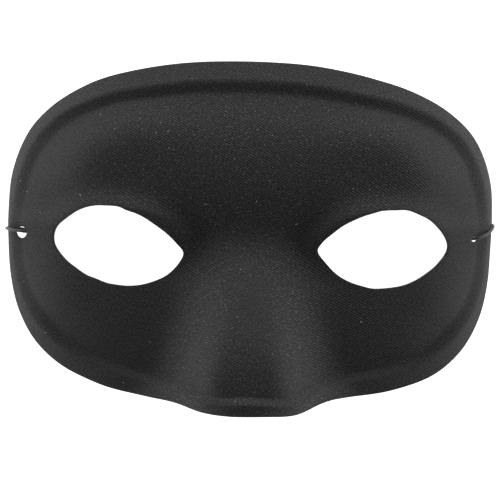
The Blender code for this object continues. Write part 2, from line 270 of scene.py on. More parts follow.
@dataclass(frozen=True)
class TwillCloth:
    """Fine polyester twill, dyed black and heat-laminated onto the shell: matt, with a soft sheen.

    The threads are about 0.4 mm apart. The two line families are drawn at twice that spacing, so
    that they just show at the size of the photograph.
    """

    gap_colour: str = "202021"
    crown_colour: str = "3b3b3c"
    # Pale flecks: partly rubbed threads, partly painted thread highlights.
    wear_and_highlight_colour: str = "7c7c7d"
    roughness: float = 0.68
    ior: float = 1.45
    gloss: float = 0.15
    sheen: float = 0.08
    sheen_roughness: float = 0.42
    # Spacing in millimetres and slope in degrees of each line family.
    lines: tuple = ((0.89, 27.8), (0.79, -38.0))
    grain: tuple = (0.5, 1.5)
    bump_mm: float = 0.14
    fuzz_mm: float = 0.75
    slub_mm: float = 0.85
    mottle_mm: float = 4.0
    # Heights above the table between which the pale flecks go from faint to full: partly wear on the higher
    # parts, partly painted thread highlights where these parts are best lit.
    wear_and_highlight_from_mm: float = 26.0
    wear_and_highlight_to_mm: float = 38.0

    def make(self) -> bpy.types.Material:
        """Makes the material, which reads the cloth's own UV map in metres."""
        material, shader = new_material("black_twill_cloth")
        uv = add_node(material, "ShaderNodeTexCoord").outputs["UV"]
        bands = []
        for period, slope in self.lines:
            turned = add_node(
                material, "ShaderNodeMapping",
                {"vector_type": "TEXTURE", "Rotation": (0.0, 0.0, math.radians(90.0 - slope))},
                Vector=uv,
            ).outputs["Vector"]
            # A wave band repeats every 2 pi / 20 units.
            band = add_node(
                material, "ShaderNodeTexWave",
                {
                    "wave_type": "BANDS", "bands_direction": "X", "wave_profile": "SIN",
                    "Scale": 2 * math.pi / 20 / (period * MM), "Distortion": 1.6, "Detail": 2.0,
                    "Detail Scale": 0.35, "Detail Roughness": 0.6,
                },
                Vector=turned,
            ).outputs["Fac"]
            bands.append(band)
        fuzz = noise(material, uv, self.fuzz_mm, 2.0, Roughness=0.6)
        mottle = noise(material, uv, self.mottle_mm, 3.0, Roughness=0.6)
        # One line family or the other stands out, in patches.
        favour = remap(material, mottle, (0.38, 0.62), (0.25, 0.75))
        height = add_node(
            material, "ShaderNodeMix", {"data_type": "FLOAT"}, in_0=favour, in_2=bands[0], in_3=bands[1]
        ).outputs[0]
        crowns = remap(material, height, (0.12, 0.88))
        threads = two_colours(material, crowns, self.gap_colour, self.crown_colour)
        # Thick and thin places of the yarn.
        slub = noise(material, uv, self.slub_mm, 2.0, Roughness=0.6)
        grain = remap(material, slub, (0.3, 0.7), self.grain)
        threads = add_node(
            material, "ShaderNodeVectorMath", {"operation": "SCALE"}, in_0=threads, Scale=grain
        ).outputs["Vector"]
        wear_and_highlight = remap(material, fuzz, (0.6, 0.78), (0.0, 0.9))
        # Single threads are paler where the mask stands proud: partly rubbed, partly painted highlights of
        # threads in the light.
        place = add_node(material, "ShaderNodeTexCoord").outputs["Object"]
        high = add_node(material, "ShaderNodeSeparateXYZ", Vector=place).outputs["Z"]
        proud_wear_and_highlight = remap(material, high, (self.wear_and_highlight_from_mm * MM, self.wear_and_highlight_to_mm * MM), (0.15, 1.0))
        wear_and_highlight = add_node(
            material, "ShaderNodeMath", {"operation": "MULTIPLY"}, in_0=wear_and_highlight, in_1=proud_wear_and_highlight
        ).outputs[0]
        colour = add_node(
            material, "ShaderNodeMix", {"data_type": "RGBA", 7: linear(self.wear_and_highlight_colour)},
            in_0=wear_and_highlight, in_6=threads,
        ).outputs[2]
        link(material, colour, shader.inputs["Base Color"])
        rough = remap(material, mottle, (0.3, 0.7), (self.roughness - 0.05, self.roughness + 0.05))
        link(material, rough, shader.inputs["Roughness"])
        shader.inputs["IOR"].default_value = self.ior
        shader.inputs["Specular IOR Level"].default_value = self.gloss
        shader.inputs["Sheen Weight"].default_value = self.sheen
        shader.inputs["Sheen Roughness"].default_value = self.sheen_roughness
        both = add_node(material, "ShaderNodeMath", {"operation": "ADD"}, in_0=height, in_1=slub).outputs[0]
        add_bump(material, shader, both, self.bump_mm)
        return material


@dataclass(frozen=True)
class FeltLining:
    """Pressed black needle felt behind the shell: fully matt, with short matted fibres."""

    dark_colour: str = "121212"
    light_colour: str = "2a2a2b"
    roughness: float = 0.95
    ior: float = 1.45
    fibre_mm: float = 1.4
    patch_mm: float = 12.0
    bump_mm: float = 0.25

    def make(self) -> bpy.types.Material:
        """Makes the material, which reads the cloth's own UV map in metres."""
        material, shader = new_material("black_felt_lining")
        uv = add_node(material, "ShaderNodeTexCoord").outputs["UV"]
        fibres = noise(material, uv, self.fibre_mm, 5.0, Roughness=0.75, Distortion=1.5)
        patches = noise(material, uv, self.patch_mm, 2.0)
        blend = add_node(
            material, "ShaderNodeMath", {"operation": "MULTIPLY"}, in_0=fibres, in_1=patches
        ).outputs[0]
        spread = remap(material, blend, (0.12, 0.42))
        colour = two_colours(material, spread, self.dark_colour, self.light_colour)
        link(material, colour, shader.inputs["Base Color"])
        shader.inputs["Roughness"].default_value = self.roughness
        shader.inputs["IOR"].default_value = self.ior
        shader.inputs["Sheen Weight"].default_value = 0.2
        add_bump(material, shader, fibres, self.bump_mm, 0.8)
        return material


@dataclass(frozen=True)
class CutEdge:
    """Die-cut edge of the laminate: the dark core between the cloth and the lining."""

    colour: str = "1b1b1c"
    roughness: float = 0.8
    ior: float = 1.5
    layer_mm: float = 0.5
    bump_mm: float = 0.1

    def make(self) -> bpy.types.Material:
        """Makes the material, which reads Object coordinates."""
        material, shader = new_material("black_cut_edge")
        place = add_node(material, "ShaderNodeTexCoord").outputs["Object"]
        grain = noise(material, place, self.layer_mm, 3.0)
        shade = remap(material, grain, (0.0, 1.0), (0.6, 1.3))
        colour = add_node(
            material, "ShaderNodeMix",
            {"data_type": "RGBA", "blend_type": "MULTIPLY", 0: 1.0, 6: linear(self.colour)},
            in_7=shade,
        ).outputs[2]
        link(material, colour, shader.inputs["Base Color"])
        shader.inputs["Roughness"].default_value = self.roughness
        shader.inputs["IOR"].default_value = self.ior
        add_bump(material, shader, grain, self.bump_mm, 0.6)
        return material


@dataclass(frozen=True)
class BraidedElastic:
    """Rubber core under a braided black polyester sleeve: satin strands that cross along the cord."""

    gap_colour: str = "0d0d0e"
    strand_colour: str = "2c2c2e"
    roughness: float = 0.5
    ior: float = 1.5
    strand_mm: float = 0.7
    strand_angle: float = math.radians(31.0)
    bump_mm: float = 0.12

    def make(self) -> bpy.types.Material:
        """Makes the material, which reads Object coordinates because the cord bends gently."""
        material, shader = new_material("black_braided_elastic")
        place = add_node(material, "ShaderNodeTexCoord").outputs["Object"]
        height = None
        for direction in ("X", "Y"):
            turned = add_node(
                material, "ShaderNodeMapping", {"Rotation": (0.0, 0.0, self.strand_angle)}, Vector=place
            ).outputs["Vector"]
            band = add_node(
                material, "ShaderNodeTexWave",
                {
                    "bands_direction": direction, "Scale": 2 * math.pi / 20 / (self.strand_mm * MM),
                    "Distortion": 0.8, "Detail": 1.0,
                },
                Vector=turned,
            ).outputs["Fac"]
            if height is None:
                height = band
            else:
                height = add_node(
                    material, "ShaderNodeMath", {"operation": "MULTIPLY"}, in_0=height, in_1=band
                ).outputs[0]
        colour = two_colours(material, height, self.gap_colour, self.strand_colour)
        link(material, colour, shader.inputs["Base Color"])
        shader.inputs["Roughness"].default_value = self.roughness
        shader.inputs["IOR"].default_value = self.ior
        shader.inputs["Sheen Weight"].default_value = 0.25
        add_bump(material, shader, height, self.bump_mm, 0.7)
        return material


@dataclass(frozen=True)
class LintFibre:
    """Loose cotton lint: pale grey fibres, half sunk in the nap of the cloth."""

    colour: str = "9c9c9e"
    tip_colour: str = "dededf"
    change_mm: float = 6.0
    roughness: float = 0.9
    ior: float = 1.5

    def make(self) -> bpy.types.Material:
        """Makes the material, which reads Object coordinates."""
        material, shader = new_material("grey_lint")
        place = add_node(material, "ShaderNodeTexCoord").outputs["Object"]
        change = noise(material, place, self.change_mm, 1.0)
        colour = two_colours(material, change, self.colour, self.tip_colour)
        link(material, colour, shader.inputs["Base Color"])
        shader.inputs["Roughness"].default_value = self.roughness
        shader.inputs["IOR"].default_value = self.ior
        return material


@dataclass(frozen=True)
class LightTable:
    """White matt acrylic, faintly lit from below so that no shadow greys it."""

    colour: str = "f4f4f4"
    roughness: float = 0.9
    glow: float = 1.0

    def make(self) -> bpy.types.Material:
        """Makes the material."""
        material, shader = new_material("white_table")
        shader.inputs["Base Color"].default_value = linear(self.colour)
        shader.inputs["Roughness"].default_value = self.roughness
        shader.inputs["Emission Color"].default_value = (1.0, 1.0, 1.0, 1.0)
        shader.inputs["Emission Strength"].default_value = self.glow
        return material


@dataclass
class FaceForm:
    """The outer surface of the mask, as heights above the table in millimetres."""

    # The rim from the middle of the forehead down the right side to below the nose:
    # across, up, height above the table, and width of the raised band.
    rim: tuple = (
        (0.0, 64.8, 31.0, 8.5), (20.7, 63.8, 30.5, 8.6), (43.5, 59.9, 27.5, 8.6),
        (60.4, 54.3, 22.0, 7.4), (72.5, 47.0, 15.0, 5.9), (80.1, 39.1, 8.0, 5.1),
        (84.4, 30.6, 2.8, 4.4), (86.8, 21.6, -0.5, 4.0), (87.6, 12.0, -0.5, 3.0),
        (87.75, 4.6, 5.0, 2.4), (87.5, -3.5, -0.5, 2.6), (86.5, -14.5, -0.5, 3.2),
        (83.5, -27.1, 3.0, 4.6), (77.8, -37.9, 9.0, 6.4), (68.9, -46.4, 15.5, 7.6),
        (55.0, -52.9, 22.0, 8.0), (38.4, -57.0, 27.5, 7.0), (26.5, -59.5, 38.0, 5.2),
        (16.0, -63.2, 51.0, 4.6), (0.0, -64.8, 57.5, 5.6),
    )
    centre_up: float = -1.0
    # The outer edge of the side rims, which stand on their inner edge.
    rim_lowest: float = 0.9
    rim_softness: float = 0.5
    # How far the hand-trimmed rim strays outward, every 12 degrees from the right side upward.
    strays: tuple = (
        0.38, 0.87, 0.63, -0.24, -0.75, -0.64, -0.33, -0.34, -0.21, 0.14,
        0.43, 0.81, 0.42, 0.20, 0.44, 0.40, 0.36, 0.03, -0.07, 0.52,
        0.40, 0.13, -0.13, -0.20, 0.93, -0.55, 0.36, 1.11, 0.87, 0.71,
    )
    dome_half_width: float = 88.2
    dome_half_height: float = 94.0
    dome_depth: float = 43.5
    dome_drop: float = 2.0
    dome_power_across: float = 2.6
    dome_power_up: float = 2.5
    # Rise, across, up, spread across, spread up.
    swellings: tuple = (
        (4.8, 0.0, 41.0, 60.0, 25.0), (5.0, 54.0, 38.5, 26.0, 15.0), (-8.5, 24.0, -4.0, 14.5, 13.5),
        (-5.0, 0.0, 1.0, 22.0, 12.0), (-4.0, 37.0, -35.0, 29.0, 25.0),
        (2.5, 77.0, -22.0, 13.0, 15.0), (2.2, 63.0, 23.0, 13.0, 12.0),
    )
    middle_softness: float = 4.0
    nose_rise: float = 27.0
    nose_top: float = -5.0
    nose_tip: float = -47.0
    nose_end: float = -74.0
    nose_start_softness: float = 4.5
    nose_level_softness: float = 5.0
    nose_end_softness: float = 4.5
    nose_half_width_top: float = 12.0
    nose_half_width_tip: float = 25.0
    nose_flank_power_top: float = 2.2
    nose_flank_power_tip: float = 4.4
    lid_centre: tuple = (48.0, -2.8)
    lid_half_axes: tuple = (23.5, 14.2)
    lid_tilt: float = math.radians(8.0)
    lid_rise: float = 4.2
    lid_outset: float = -1.0
    lid_spread: float = 4.8
    lid_fade: float = 5.0
    rim_fade: float = 24.0
    # The step is shallow beside the cord holes, where the band is narrow.
    band_step_narrow: float = 1.3
    band_step_wide: float = 3.1
    step_fade: float = 16.0
    band_width_narrow: float = 3.0
    band_width_wide: float = 6.0
    step_half_run: float = 1.6
    rim_angles: np.ndarray = field(init=False)
    rim_rows: np.ndarray = field(init=False)
    rim_slopes: np.ndarray = field(init=False)

    def __post_init__(self) -> None:
        """Turns the rim into angles about the middle, and a row of radius, height and band for each."""
        right = np.array(self.rim)
        left = right[-2:0:-1] * (-1, 1, 1, 1)
        whole = np.concatenate([right, left])
        angle = np.unwrap(np.arctan2(whole[:, 1] - self.centre_up, whole[:, 0]))[::-1]
        radius = np.hypot(whole[:, 0], whole[:, 1] - self.centre_up)
        rows = np.column_stack([radius, whole[:, 2:]])[::-1]
        turn = 2 * math.pi
        self.rim_angles = np.concatenate([angle - turn, angle, angle + turn])
        self.rim_rows = np.concatenate([rows, rows, rows])
        self.rim_slopes = np.gradient(self.rim_rows, self.rim_angles, axis=0)

    def rim_at(self, angle: np.ndarray) -> tuple[np.ndarray, np.ndarray, np.ndarray]:
        """Reads the rim on a smooth curve through its table.

        Args:
            angle: angles about the middle of the face, in radians.

        Returns:
            Radius, height above the table and band width at each angle.
        """
        place = np.clip(np.searchsorted(self.rim_angles, angle) - 1, 0, len(self.rim_angles) - 2)
        width = self.rim_angles[place + 1] - self.rim_angles[place]
        t = ((angle - self.rim_angles[place]) / width)[..., None]
        slopes = width[..., None] * self.rim_slopes[place], width[..., None] * self.rim_slopes[place + 1]
        rows = hermite(t, self.rim_rows[place], slopes[0], self.rim_rows[place + 1], slopes[1])
        radius, height, band = np.moveaxis(rows, -1, 0)
        radius = radius + self.stray(angle)
        above = np.logaddexp(0.0, (height - self.rim_lowest) / self.rim_softness)
        return radius, self.rim_lowest + self.rim_softness * above, band

    def stray(self, angle: np.ndarray) -> np.ndarray:
        """Reads how far the rim strays outward, on a smooth curve.

        Args:
            angle: angles about the middle of the face, in radians.

        Returns:
            The distance at each angle.
        """
        count = len(self.strays)
        steps = np.asarray(angle) / (2 * math.pi) * count
        near = np.floor(steps).astype(int)
        t = steps - near
        table = np.array(self.strays)
        before, start, end, after = (table[(near + step) % count] for step in (-1, 0, 1, 2))
        return hermite(t, start, 0.5 * (end - before), end, 0.5 * (after - start))

    def nose(self, across: np.ndarray, up: np.ndarray) -> np.ndarray:
        """Measures the rise of the nose over the dome.

        Args:
            across: distances from the middle line.
            up: heights on the face.

        Returns:
            The rise at each place.
        """
        start, level = self.nose_start_softness, self.nose_level_softness
        run = start * np.logaddexp(0.0, (self.nose_top - up) / start)
        run = run - level * np.logaddexp(0.0, (self.nose_tip - up) / level)
        run = run / (self.nose_top - self.nose_tip)
        run = run / (1.0 + np.exp((self.nose_end - up) / self.nose_end_softness))
        spread = self.nose_half_width_top + (self.nose_half_width_tip - self.nose_half_width_top) * run
        flatter = np.clip(run, 0.0, 1.0)
        power = self.nose_flank_power_top + (self.nose_flank_power_tip - self.nose_flank_power_top) * flatter
        return self.nose_rise * run * np.exp(-((across / spread) ** power))

    def lid(self, across: np.ndarray, up: np.ndarray) -> np.ndarray:
        """Measures the rise of the low roll above the eye hole.

        Args:
            across: distances from the middle line.
            up: heights on the face.

        Returns:
            The rise at each place.
        """
        x = across - self.lid_centre[0]
        y = up - self.lid_centre[1]
        along = x * math.cos(self.lid_tilt) + y * math.sin(self.lid_tilt)
        over = y * math.cos(self.lid_tilt) - x * math.sin(self.lid_tilt)
        ring = np.hypot(along / self.lid_half_axes[0], over / self.lid_half_axes[1])
        outset = (ring - 1.0) * self.lid_half_axes[1]
        above = 0.5 + 0.5 * np.tanh(over / self.lid_fade)
        return self.lid_rise * above * np.exp(-(((outset - self.lid_outset) / self.lid_spread) ** 2))

    def relief(self, x: np.ndarray, y: np.ndarray) -> np.ndarray:
        """Measures the face before its rim is bent down to its own height.

        Args:
            x: places across the face.
            y: places up the face.

        Returns:
            Heights above the table.
        """
        across = np.abs(x)
        reach = (across / self.dome_half_width) ** self.dome_power_across
        reach = reach + (np.abs(y) / self.dome_half_height) ** self.dome_power_up
        round_off = np.maximum(1.0 - reach ** (2.0 / self.dome_power_across), 0.0)
        height = self.dome_depth * np.sqrt(round_off) - self.dome_drop
        soft = np.sqrt(across * across + self.middle_softness**2)
        for rise, middle_x, middle_y, spread_x, spread_y in self.swellings:
            off = ((soft - middle_x) / spread_x) ** 2 + ((y - middle_y) / spread_y) ** 2
            height = height + rise * np.exp(-off)
        return height + self.nose(across, y) + self.lid(across, y)

    def height(self, x: np.ndarray, y: np.ndarray) -> np.ndarray:
        """Measures the face with its rim at its own height.

        Args:
            x: places across the face.
            y: places up the face.

        Returns:
            Heights above the table.
        """
        angle = np.arctan2(y - self.centre_up, x)
        radius, rim_height, _ = self.rim_at(angle)
        inward = radius - np.hypot(x, y - self.centre_up)
        # The relief is stretched with the rim, so that it ends at the same form everywhere.
        even = radius - self.stray(angle)
        natural = self.relief(even * np.cos(angle), even * np.sin(angle) + self.centre_up)
        stretch = even / radius
        relief = self.relief(x * stretch, (y - self.centre_up) * stretch + self.centre_up)
        pull = np.clip(1.0 - inward / self.rim_fade, 0.0, None) ** 2
        return relief + (rim_height - natural) * pull

    def normal(self, x: np.ndarray, y: np.ndarray) -> np.ndarray:
        """Finds the outward normal of the face.

        Args:
            x: places across the face.
            y: places up the face.

        Returns:
            A unit vector for each place.
        """
        near = 0.1
        slope_x = (self.height(x + near, y) - self.height(x - near, y)) / (2 * near)
        slope_y = (self.height(x, y + near) - self.height(x, y - near)) / (2 * near)
        normal = np.stack([-slope_x, -slope_y, np.ones_like(slope_x)], axis=-1)
        return normal / np.linalg.norm(normal, axis=-1, keepdims=True)

    def point(self, plan: np.ndarray) -> np.ndarray:
        """Finds the outer surface, sunk a step inside the raised band.

        Args:
            plan: places on the unsunk face, one row of across and up for each.

        Returns:
            One row of x, y and z in millimetres for each place.
        """
        x, y = plan[..., 0], plan[..., 1]
        radius, _, band = self.rim_at(np.arctan2(y - self.centre_up, x))
        inward = np.maximum(radius - np.hypot(x, y - self.centre_up), 0.0)
        run = np.clip(0.5 + 0.5 * (inward - band) / self.step_half_run, 0.0, 1.0)
        wide = (band - self.band_width_narrow) / (self.band_width_wide - self.band_width_narrow)
        wide = np.clip(wide, 0.0, 1.0) * np.exp(-((np.maximum(inward - band, 0.0) / self.step_fade) ** 2))
        step = self.band_step_narrow + (self.band_step_wide - self.band_step_narrow) * wide
        sunk = step * run * run * (3.0 - 2.0 * run)
        return np.stack([x, y, self.height(x, y)], axis=-1) - sunk[..., None] * self.normal(x, y)

    def plan_under(self, across: float, up: float) -> np.ndarray:
        """Finds the place on the unsunk face whose sunk point is seen at a place from the front.

        Args:
            across: where the point is seen, across the face.
            up: where the point is seen, up the face.

        Returns:
            The place, as across and up.
        """
        plan = np.array([[across, up]])
        for _ in range(4):
            plan = plan + (np.array([[across, up]]) - self.point(plan)[:, :2])
        return plan[0]


@dataclass
class Opening:
    """A hole punched through the shell, known by how far each place lies from its edge."""

    face: FaceForm

    def reach(self, plan: np.ndarray) -> np.ndarray:
        """Measures how far places lie outside the hole's edge, below zero inside it."""
        raise NotImplementedError

    def settle(self, plan: np.ndarray) -> np.ndarray:
        """Moves places onto the hole's edge.

        Args:
            plan: places near the edge.

        Returns:
            The nearest places on the edge.
        """
        near = 0.02
        for _ in range(4):
            here = self.reach(plan)
            slope = np.stack(
                [
                    (self.reach(plan + (near, 0.0)) - self.reach(plan - (near, 0.0))) / (2 * near),
                    (self.reach(plan + (0.0, near)) - self.reach(plan - (0.0, near))) / (2 * near),
                ],
                axis=-1,
            )
            plan = plan - here[:, None] * slope / np.maximum((slope**2).sum(axis=1), 0.05)[:, None]
        return plan


@dataclass
class EyeHole(Opening):
    """An eye hole, from its outline as seen from the front."""

    side: Side
    outline: tuple
    curve_steps: int = 16
    # Places further away than this from the middle are outside.
    far: float = 40.0
    edge: np.ndarray = field(init=False)

    def __post_init__(self) -> None:
        """Reads a smooth closed curve through the outline."""
        knots = np.array(self.outline) * (self.side.value, 1.0)
        spots = []
        for number in range(len(knots)):
            four = [knots[(number + step) % len(knots)] for step in (-1, 0, 1, 2)]
            spots.extend(curve_between(*four, self.curve_steps))
        self.edge = np.array(spots)

    def reach(self, plan: np.ndarray) -> np.ndarray:
        """Measures how far places lie outside the hole's edge.

        Args:
            plan: places on the unsunk face.

        Returns:
            Distances as seen from the front, below zero inside the hole.
        """
        place = self.face.point(plan)[:, :2]
        reach = np.hypot(*(place - self.edge.mean(axis=0)).T)
        close = reach < self.far
        spots = place[close]
        start = self.edge
        run = np.roll(self.edge, -1, axis=0) - start
        gap = spots[:, None, :] - start[None]
        share = np.clip((gap * run).sum(axis=2) / (run**2).sum(axis=1), 0.0, 1.0)
        distance = np.linalg.norm(gap - share[..., None] * run, axis=2).min(axis=1)
        end = start + run
        above = (start[:, 1] > spots[:, 1:]) != (end[:, 1] > spots[:, 1:])
        rise = np.where(np.abs(run[:, 1]) < 1e-9, 1e-9, run[:, 1])
        crossing = start[:, 0] + (spots[:, 1:] - start[:, 1]) * run[:, 0] / rise
        inside = (above & (spots[:, :1] < crossing)).sum(axis=1) % 2 == 1
        reach[close] = np.where(inside, -distance, distance)
        return reach


@dataclass
class CordHole(Opening):
    """A hole for the elastic cord, from the oval that is seen of it from the front."""

    side: Side
    ovals: dict = field(
        default_factory=lambda: {
            Side.LEFT: ((-83.1, 1.0), (1.95, 2.1)),
            Side.RIGHT: ((81.9, 1.15), (1.0, 0.95)),
        }
    )
    seen: np.ndarray = field(init=False)
    half_axes: np.ndarray = field(init=False)
    middle: np.ndarray = field(init=False)

    def __post_init__(self) -> None:
        """Finds the hole's middle on the face."""
        seen, half_axes = self.ovals[self.side]
        self.seen = np.array(seen)
        self.half_axes = np.array(half_axes)
        self.middle = self.face.point(self.face.plan_under(*seen)[None])[0]

    def reach(self, plan: np.ndarray) -> np.ndarray:
        """Measures how far places lie outside the hole's edge.

        Args:
            plan: places on the unsunk face.

        Returns:
            Distances as seen from the front, below zero inside the hole.
        """
        share = (self.face.point(plan)[:, :2] - self.seen) / self.half_axes
        return (np.linalg.norm(share, axis=1) - 1.0) * self.half_axes.min()


@dataclass
class MaskShell:
    """The moulded shell: cloth in front, felt behind, with its eye holes and cord holes."""

    face: FaceForm
    # Each outline runs from the outer corner over the top to the inner corner and back.
    left_eye: tuple = (
        (71.5, -2.39), (70.49, 3.26), (66.42, 7.14), (61.78, 10.09), (56.82, 11.43),
        (52.36, 11.47), (48.4, 11.2), (44.95, 9.58), (41.59, 8.55), (38.21, 6.93), (34.72, 4.65),
        (30.39, 1.57), (26.45, -2.21), (23.95, -5.59), (25.67, -9.36), (29.93, -13.67),
        (35.39, -16.21), (40.2, -17.51), (44.5, -17.85), (48.41, -17.51), (52.06, -16.88),
        (55.49, -15.52), (59.26, -14.11), (62.95, -11.67), (67.28, -8.33),
    )
    right_eye: tuple = (
        (72.57, -2.17), (70.56, 3.05), (66.69, 7.49), (61.85, 10.12), (57.38, 11.71),
        (52.78, 11.52), (48.96, 11.3), (45.48, 10.16), (42.09, 9.12), (38.56, 7.65), (34.2, 5.37),
        (29.71, 1.96), (26.3, -1.2), (24.8, -4.2), (28.2, -8.7), (32.31, -12.59), (36.78, -15.0),
        (41.12, -16.41), (45.05, -17.35), (48.98, -17.23), (52.73, -16.78), (56.64, -15.89),
        (60.57, -14.14), (64.44, -11.66), (68.78, -8.03),
    )
    wall: float = 1.2
    edge_round: float = 0.22
    points_around: int = 400
    rows_on_band: int = 22
    rows_inside: int = 48
    middle_ring: float = 2.4
    snap: float = 0.26
    fine_round_cord_hole: float = 4.6
    # The wall is pressed thin round the cord holes: its share at the edge, and how far it is thinner.
    thin_share: float = 0.45
    thin_run: float = 1.6

    def grid(self) -> bmesh.types.BMesh:
        """Makes the outer surface as rings from the rim to the middle of the face.

        Returns:
            The mesh, with each vertex's plan place and flat cloth place in two layers.
        """
        rows = self.rows_on_band + self.rows_inside
        mesh = bmesh.new()
        bmesh.ops.create_grid(mesh, x_segments=rows, y_segments=self.points_around, size=0.5)
        plan_layer = mesh.verts.layers.float_vector.new("plan")
        cloth_layer = mesh.verts.layers.float_vector.new("cloth")
        place = np.array([vertex.co[:2] for vertex in mesh.verts]) + 0.5
        ring = np.round(place[:, 0] * rows).astype(int)
        spoke = np.round(place[:, 1] * self.points_around).astype(int)
        angle = -2 * math.pi * spoke / self.points_around
        radius, _, band = self.face.rim_at(angle)
        on_band = 2.0 * band * np.minimum(ring / self.rows_on_band, 1.0)
        inside = np.clip((ring - self.rows_on_band) / (self.rows_inside - 1), 0.0, 1.0)
        inward = on_band + (radius - 2.0 * band - self.middle_ring) * inside
        inward = np.where(ring == rows, radius, inward)
        away = radius - inward
        plan = np.stack([away * np.cos(angle), away * np.sin(angle) + self.face.centre_up], axis=1)
        point = self.face.point(plan)
        table = np.zeros((rows + 1, self.points_around + 1, 3))
        table[ring, spoke] = point
        steps = np.linalg.norm(np.diff(table, axis=0), axis=2)
        run = np.concatenate([np.cumsum(steps[::-1], axis=0)[::-1], np.zeros((1, steps.shape[1]))])
        length = run[ring, spoke]
        for number, vertex in enumerate(mesh.verts):
            vertex.co = Vector(point[number]) * MM
            vertex[plan_layer] = (plan[number, 0], plan[number, 1], 0.0)
            flat = (length[number] * math.cos(angle[number]), length[number] * math.sin(angle[number]))
            vertex[cloth_layer] = (flat[0] * MM, flat[1] * MM, 0.0)
        bmesh.ops.remove_doubles(mesh, verts=mesh.verts, dist=0.004 * MM)
        return mesh

    def plans(self, mesh: bmesh.types.BMesh, verts: list) -> np.ndarray:
        """Reads the plan places of vertices.

        Args:
            mesh: the shell's mesh.
            verts: the vertices.

        Returns:
            One row of across and up for each.
        """
        layer = mesh.verts.layers.float_vector["plan"]
        return np.array([vertex[layer][:2] for vertex in verts]).reshape(-1, 2)

    def place(self, mesh: bmesh.types.BMesh, verts: list, plan: np.ndarray) -> None:
        """Puts vertices on the face.

        Args:
            mesh: the shell's mesh.
            verts: the vertices.
            plan: their new plan places.
        """
        layer = mesh.verts.layers.float_vector["plan"]
        for vertex, spot, point in zip(verts, plan, self.face.point(plan)):
            vertex[layer] = (spot[0], spot[1], 0.0)
            vertex.co = Vector(point) * MM

    def refine(self, mesh: bmesh.types.BMesh, hole: CordHole) -> None:
        """Makes the mesh finer round a cord hole.

        Args:
            mesh: the shell's mesh.
            hole: the cord hole.
        """
        middle = Vector(hole.middle) * MM
        edges = [
            edge for edge in mesh.edges
            if ((edge.verts[0].co + edge.verts[1].co) / 2 - middle).length < self.fine_round_cord_hole * MM
        ]
        made = bmesh.ops.subdivide_edges(mesh, edges=edges, cuts=2, use_grid_fill=True)
        verts = [item for item in made["geom_inner"] if isinstance(item, bmesh.types.BMVert)]
        self.place(mesh, verts, self.plans(mesh, verts))

    def punch(self, mesh: bmesh.types.BMesh, hole: Opening) -> None:
        """Cuts a hole with clean edges along the hole's outline.

        Args:
            mesh: the shell's mesh.
            hole: the hole.
        """
        verts = list(mesh.verts)
        plan = self.plans(mesh, verts)
        reach = dict(zip(verts, hole.reach(plan)))
        close = [vertex for vertex in verts if abs(reach[vertex]) < self.snap]
        self.place(mesh, close, hole.settle(self.plans(mesh, close)))
        on_edge = set(close)
        for edge in list(mesh.edges):
            start, end = edge.verts
            if start in on_edge or end in on_edge or reach[start] * reach[end] >= 0.0:
                continue
            share = reach[start] / (reach[start] - reach[end])
            _, made = bmesh.utils.edge_split(edge, start, share)
            on_edge.add(made)
            close.append(made)
        self.place(mesh, close, hole.settle(self.plans(mesh, close)))
        bmesh.ops.connect_verts(mesh, verts=close)
        mesh.faces.ensure_lookup_table()
        near = [face for face in mesh.faces if any(vertex in on_edge for vertex in face.verts)]
        middles = np.array([self.plans(mesh, list(face.verts)).mean(axis=0) for face in near])
        inner = {face for face, far in zip(near, hole.reach(middles)) if far < 0.0}
        inner.update(
            face for face in mesh.faces
            if all(vertex not in on_edge and reach.get(vertex, 1.0) < 0.0 for vertex in face.verts)
        )
        bmesh.ops.delete(mesh, geom=list(inner), context="FACES")

    def build(self, finishes: list[bpy.types.Material]) -> bpy.types.Object:
        """Makes the shell.

        Args:
            finishes: the materials in the order of Layer.

        Returns:
            The shell's object.
        """
        mesh = self.grid()
        cord_holes = [CordHole(self.face, side) for side in Side]
        for cord_hole in cord_holes:
            self.refine(mesh, cord_hole)
            self.punch(mesh, cord_hole)
        for side, outline in ((Side.LEFT, self.left_eye), (Side.RIGHT, self.right_eye)):
            self.punch(mesh, EyeHole(self.face, side, outline))
        plan = self.plans(mesh, list(mesh.verts))
        far = np.min([hole.reach(plan) for hole in cord_holes], axis=0)
        cloth_layer = mesh.verts.layers.float_vector["cloth"]
        uv_layer = mesh.loops.layers.uv.new("cloth")
        for face in mesh.faces:
            face.smooth = True
            for loop in face.loops:
                loop[uv_layer].uv = loop.vert[cloth_layer][:2]
        shell = add_piece("mask", mesh, finishes)
        thickness = self.thin_share + (1.0 - self.thin_share) * np.clip(far / self.thin_run, 0.0, 1.0)
        group = shell.vertex_groups.new(name="wall")
        group.add(np.nonzero(thickness >= 1.0)[0].tolist(), 1.0, "REPLACE")
        for number in np.nonzero(thickness < 1.0)[0].tolist():
            group.add([number], float(thickness[number]), "REPLACE")
        wall = shell.modifiers.new("wall", "SOLIDIFY")
        wall.vertex_group = group.name
        wall.thickness = self.wall * MM
        wall.offset = -1.0
        wall.use_even_offset = False
        wall.material_offset = Layer.LINING.value
        wall.material_offset_rim = Layer.CUT_EDGE.value
        rounding = shell.modifiers.new("rounded_edges", "BEVEL")
        rounding.width = self.edge_round * MM
        rounding.segments = 2
        rounding.limit_method = "ANGLE"
        rounding.angle_limit = math.radians(50.0)
        return shell


